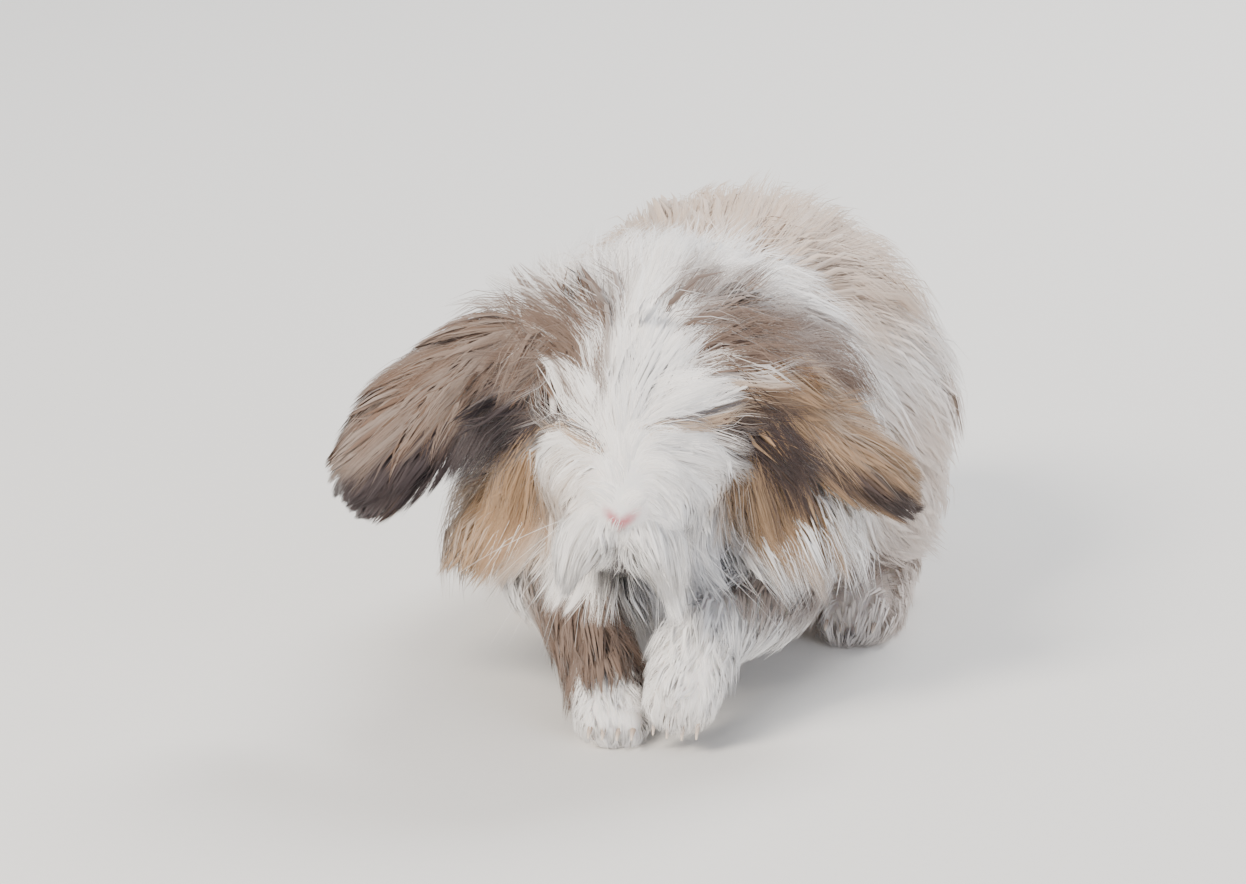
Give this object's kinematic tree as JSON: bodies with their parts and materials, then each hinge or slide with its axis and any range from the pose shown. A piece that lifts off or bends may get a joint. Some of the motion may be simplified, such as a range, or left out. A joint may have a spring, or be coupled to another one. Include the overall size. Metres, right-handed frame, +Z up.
{
  "type": "long-haired lop-eared dwarf rabbit",
  "caption": "Still life-size model of a long-haired lop-eared dwarf rabbit in a low hop, ears held out, resting on its feet.",
  "frame": {"origin": "middle of the whole model's box, on the floor it rests on", "axes": "+Z up, -Y the way the rabbit faces, +X its left side"},
  "size_m": [0.2062, 0.3174, 0.1625],
  "materials": {
    "white_wool": "long soft white wool, matte, slightly warm",
    "cream_wool": "long soft cream wool, matte",
    "taupe_fur": "soft taupe brown hair, matte, near black at the ear's edge",
    "tan_fur": "soft orange tan hair, matte",
    "wet_eye": "wet dark brown eye, glossy"
  },
  "bodies": {
    "root": {"head": "white_wool", "neck": "white_wool", "chest": "white_wool", "rump": "cream_wool", "thigh_left": "cream_wool", "thigh_right": "cream_wool", "tail": "cream_wool", "hindfoot_left": "cream_wool", "hindfoot_right": "cream_wool", "forepaw_left": "white_wool", "forepaw_right": "taupe_fur", "foreleg_left": "taupe_fur", "foreleg_right": "taupe_fur", "ear_left": "tan_fur", "ear_right": "taupe_fur", "eye_left": "wet_eye", "eye_right": "wet_eye"}
  },
  "joints": []
}
